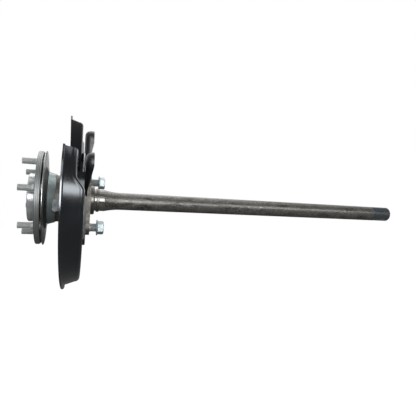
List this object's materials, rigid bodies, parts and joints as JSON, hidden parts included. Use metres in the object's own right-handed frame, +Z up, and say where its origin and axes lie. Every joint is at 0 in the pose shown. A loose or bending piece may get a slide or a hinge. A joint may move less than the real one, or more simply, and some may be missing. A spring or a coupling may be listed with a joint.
{
  "type": "rear axle shaft assembly",
  "caption": "Splined rear axle shaft with studded wheel flange, bearing case, black brake dust shield and caliper bracket.",
  "frame": {"origin": "centre of the flange face that the wheel seats on, on the axle's axis", "axes": "+X along the axle from the wheel towards the splined end; +Z up, with the caliper opening of the dust shield at the top; -Y is the side that faces the viewer"},
  "size_m": [0.876, 0.3501, 0.3443],
  "materials": {
    "forged_steel": "mottled forged and heat-treated steel, oiled, with turned and ground seats",
    "stud_steel": "grey phosphated steel",
    "plated_sheet": "bare pressed steel sheet",
    "bearing_steel": "ground bearing steel",
    "cage_brass": "stamped brass",
    "ring_steel": "turned steel",
    "spring_steel": "blued spring steel",
    "seal_rubber": "black nitrile rubber",
    "case_iron": "oiled brown cast iron",
    "cover_zinc": "blue-grey zinc plating",
    "shield_black": "glossy black electro-coat",
    "bracket_black": "black electro-coat on heavy plate",
    "bolt_zinc": "grey zinc-plated thread",
    "nut_zinc": "pale blue zinc plating"
  },
  "bodies": {
    "case": {"bearing_case": "case_iron", "front_cover": "cover_zinc", "outer_seal": "seal_rubber", "inner_seal": "seal_rubber", "bearing_outer_ring": "bearing_steel", "bearing_shields": "spring_steel", "case_snap_ring": "spring_steel", "sensor_mount": "cover_zinc", "dust_shield": "shield_black", "caliper_bracket": "bracket_black", "case_bolts": "bolt_zinc", "case_nuts": "nut_zinc"},
    "axle": {"axle_shaft": "forged_steel", "wheel_studs": "stud_steel", "deflector": "plated_sheet", "tone_ring": "ring_steel", "bearing_inner_ring": "bearing_steel", "bearing_retainer": "ring_steel", "lock_ring": "ring_steel"},
    "ball_set": {"bearing_balls": "bearing_steel", "bearing_cage": "cage_brass"}
  },
  "joints": [
    {"name": "axle_turn", "type": "hinge", "parent": "case", "child": "axle", "pos_m": [0.068, 0, 0], "axis": [1, 0, 0], "continuous": true},
    {"name": "ball_orbit", "type": "hinge", "parent": "case", "child": "ball_set", "pos_m": [0.068, 0, 0], "axis": [1, 0, 0], "continuous": true}
  ],
  "couplings": [
    {"joint": "ball_orbit", "follows": "axle_turn", "ratio": 0.41}
  ]
}
